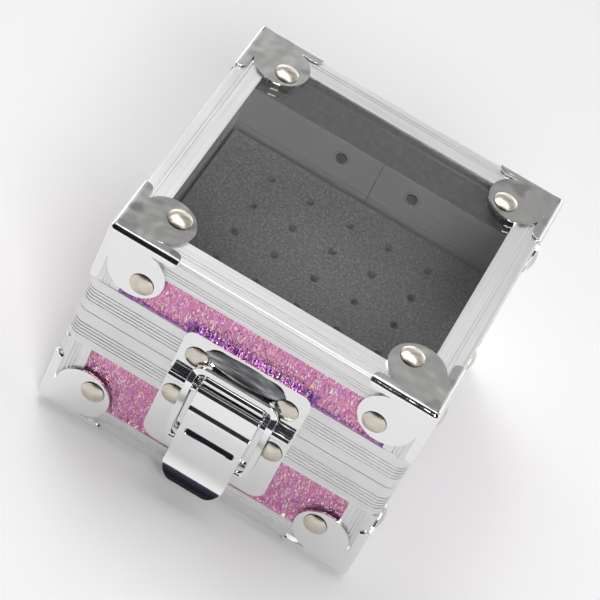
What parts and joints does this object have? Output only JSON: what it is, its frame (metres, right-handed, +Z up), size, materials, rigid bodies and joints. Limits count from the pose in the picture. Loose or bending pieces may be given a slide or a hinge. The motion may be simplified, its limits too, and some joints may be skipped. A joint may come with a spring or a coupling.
{
  "type": "drill bit storage box",
  "caption": "Square hinged storage box for drill bits, with a clear window in its lid, a drilled foam insert, metal-edged walls, corner plates and a draw latch.",
  "frame": {"origin": "under the middle of the closed box, latch and hinge included, on the table", "axes": "+Z up, +X to the right seen from the front, the latch faces -Y and the hinge +Y"},
  "size_m": [0.0938, 0.1024, 0.0705],
  "materials": {
    "chromed_steel": "bright chrome plate",
    "nickel_rivet": "polished nickel plate",
    "steel_pin": "bright drawn wire",
    "hinge_steel": "zinc plated",
    "aluminium": "satin, with fine lines along it",
    "clear_acrylic": "clear and polished",
    "foam": "closed foam with a fine grain",
    "lining": "dark flat lining",
    "covered_board": "fibreboard covered with pink holographic film",
    "bare_board": "fibreboard with a plain dark cover"
  },
  "bodies": {
    "base": {"base_back_board": "covered_board", "base_back_edge": "aluminium", "base_back_left_corner": "chromed_steel", "base_back_left_post": "aluminium", "base_back_right_corner": "chromed_steel", "base_back_right_post": "aluminium", "base_bottom_board": "bare_board", "base_front_board": "covered_board", "base_front_edge": "aluminium", "base_front_left_corner": "chromed_steel", "base_front_left_post": "aluminium", "base_front_right_corner": "chromed_steel", "base_front_right_post": "aluminium", "base_left_board": "covered_board", "base_left_edge": "aluminium", "base_right_board": "covered_board", "base_right_edge": "aluminium", "base_rim": "aluminium", "base_side_rivets": "nickel_rivet", "foam_insert": "foam", "foot_rivets": "nickel_rivet", "hinge_base_leaf": "hinge_steel", "hinge_base_rivets": "nickel_rivet", "hinge_pin": "steel_pin", "latch_pin": "steel_pin", "latch_plate": "chromed_steel", "latch_plate_rivets": "nickel_rivet"},
    "lid": {"hinge_lid_leaf": "hinge_steel", "hinge_lid_rivets": "nickel_rivet", "lid_back_board": "covered_board", "lid_back_edge": "aluminium", "lid_back_left_corner": "chromed_steel", "lid_back_left_post": "aluminium", "lid_back_right_corner": "chromed_steel", "lid_back_right_post": "aluminium", "lid_front_board": "covered_board", "lid_front_edge": "aluminium", "lid_front_left_corner": "chromed_steel", "lid_front_left_post": "aluminium", "lid_front_right_corner": "chromed_steel", "lid_front_right_post": "aluminium", "lid_left_board": "covered_board", "lid_left_edge": "aluminium", "lid_lining": "lining", "lid_right_board": "covered_board", "lid_right_edge": "aluminium", "lid_rim": "aluminium", "lid_side_rivets": "nickel_rivet", "lid_top_rivets": "nickel_rivet", "strike_plate": "chromed_steel", "strike_rivets": "nickel_rivet", "window": "clear_acrylic"},
    "lever": {"latch_lever": "chromed_steel"},
    "loop": {"latch_loop": "chromed_steel"}
  },
  "joints": [
    {"name": "lid_hinge", "type": "hinge", "parent": "base", "child": "lid", "pos_m": [0, 0.0493, 0.03822], "axis": [-1, 0, 0], "range_deg": [0, 105]},
    {"name": "lever_hinge", "type": "hinge", "parent": "base", "child": "lever", "pos_m": [0, -0.046, 0.03702], "axis": [-1, 0, 0], "range_deg": [0, 110]},
    {"name": "loop_hinge", "type": "hinge", "parent": "lever", "child": "loop", "pos_m": [0, -0.046, 0.01712], "axis": [-1, 0, 0], "range_deg": [-121, 0]}
  ],
  "couplings": [
    {"joint": "loop_hinge", "follows": "lever_hinge", "ratio": -1.1}
  ]
}
